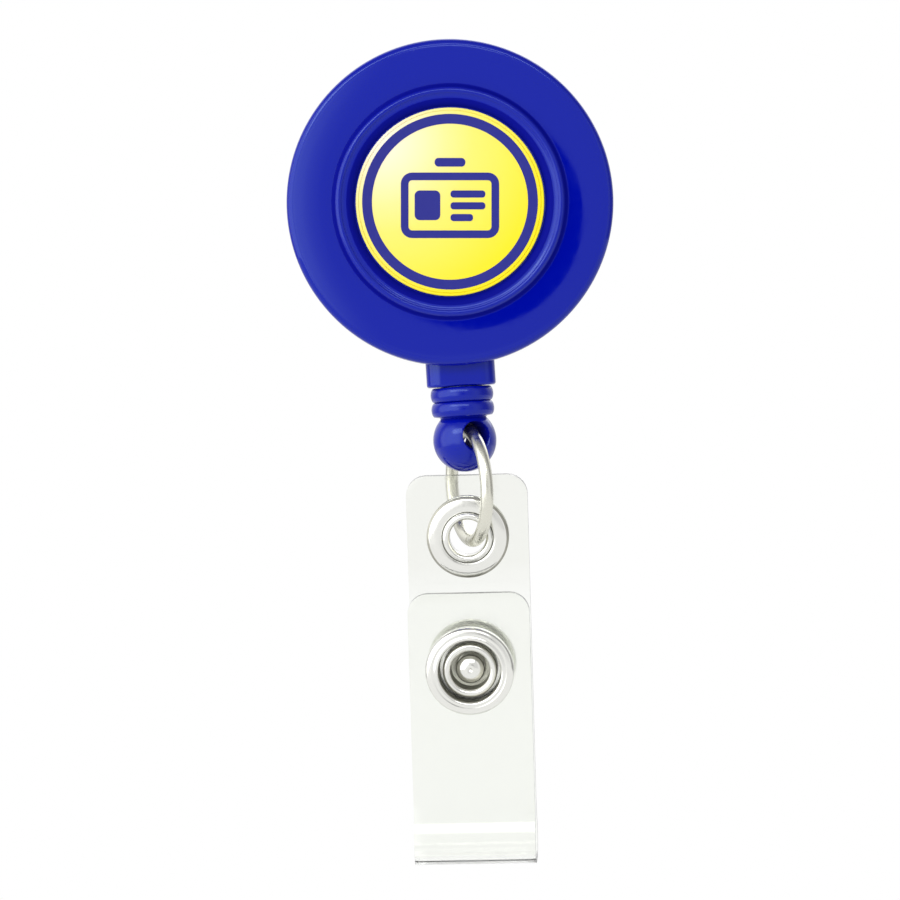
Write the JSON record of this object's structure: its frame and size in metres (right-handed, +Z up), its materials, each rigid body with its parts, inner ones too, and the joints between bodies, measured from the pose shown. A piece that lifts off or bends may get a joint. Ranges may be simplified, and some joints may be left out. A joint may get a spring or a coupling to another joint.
{
  "type": "retractable badge reel",
  "caption": "Round retractable badge reel: sprung cord spool in a glossy case, label recess, cord-end plug with ring, clear snap strap and swivelling spring clip.",
  "frame": {"origin": "the bite of the clip's jaws, where the edge of a pocket or a belt holds the reel", "axes": "+Z up, the way it hangs; +Y from the front of the case to the back; +X to the right of a person who faces the front"},
  "size_m": [0.032, 0.0188, 0.0814],
  "materials": {
    "case_plastic": "glossy deep blue moulding",
    "printed_label": "yellow print with a blue band and a plain badge symbol",
    "spool_plastic": "natural moulding",
    "nylon_cord": "braided nylon",
    "clear_vinyl": "soft clear vinyl",
    "nickel_plate": "bright nickel plate",
    "spring_steel": "bright spring steel"
  },
  "bodies": {
    "clip": {"clip_base": "nickel_plate", "clip_pin": "nickel_plate", "clip_spring": "spring_steel", "swivel_rivet": "nickel_plate", "swivel_washer": "nickel_plate"},
    "lever": {"clip_lever": "nickel_plate"},
    "case": {"front_cover": "case_plastic", "back_shell": "case_plastic", "label_disc": "printed_label", "mainspring": "spring_steel", "cord_feed": "nylon_cord", "cord_lead": "nylon_cord"},
    "reel_spool": {"spool": "spool_plastic", "wound_cord": "nylon_cord"},
    "cord_end": {"cord_knot": "nylon_cord"},
    "plug": {"end_plug": "case_plastic"},
    "ring": {"jump_ring": "nickel_plate"},
    "strap": {"strap_back": "clear_vinyl", "eyelet": "nickel_plate", "eyelet_washer": "nickel_plate", "snap_stud": "nickel_plate", "snap_post": "nickel_plate"},
    "flap": {"strap_flap": "clear_vinyl", "snap_socket": "nickel_plate", "snap_ring": "nickel_plate"}
  },
  "joints": [
    {"name": "jaw_open", "type": "hinge", "parent": "clip", "child": "lever", "pos_m": [0, 0.0023, 0.0156], "axis": [1, 0, 0], "range_deg": [0, 22], "stiffness_Nm_per_rad": 0.1, "springref_deg": -34.38, "deforming": ["clip_spring"]},
    {"name": "clip_swivel", "type": "hinge", "parent": "clip", "child": "case", "pos_m": [0, -0.01105, 0.0114], "axis": [0, 1, 0], "continuous": true},
    {"name": "cord_pull", "type": "slide", "parent": "case", "child": "cord_end", "axis": [0, 0, -1], "range_m": [0, 0.86], "stiffness_N_per_m": 0.6, "springref_m": -0.8, "deforming": ["cord_lead"]},
    {"name": "spool_spin", "type": "hinge", "parent": "case", "child": "reel_spool", "pos_m": [0, -0.00598, 0.0114], "axis": [0, 1, 0], "range_deg": [0, 4700], "deforming": ["mainspring"]},
    {"name": "plug_twist", "type": "hinge", "parent": "cord_end", "child": "plug", "pos_m": [0, -0.00598, -0.00926], "axis": [0, 0, 1], "continuous": true},
    {"name": "ring_swing", "type": "hinge", "parent": "plug", "child": "ring", "pos_m": [0, -0.00598, -0.01146], "axis": [-0.4226, 0.9063, 0], "range_deg": [-70, 70]},
    {"name": "strap_slide", "type": "hinge", "parent": "ring", "child": "strap", "pos_m": [0.00015, -0.00598, -0.01644], "axis": [0.9511, 0.309, 0], "range_deg": [-75, 60]},
    {"name": "flap_open", "type": "hinge", "parent": "strap", "child": "flap", "pos_m": [-0.00141, -0.00232, -0.05377], "axis": [0.9977, -0.0554, -0.0397], "range_deg": [0, 150]}
  ],
  "couplings": [
    {"joint": "spool_spin", "follows": "cord_pull", "rad_per_m": 95.2}
  ]
}
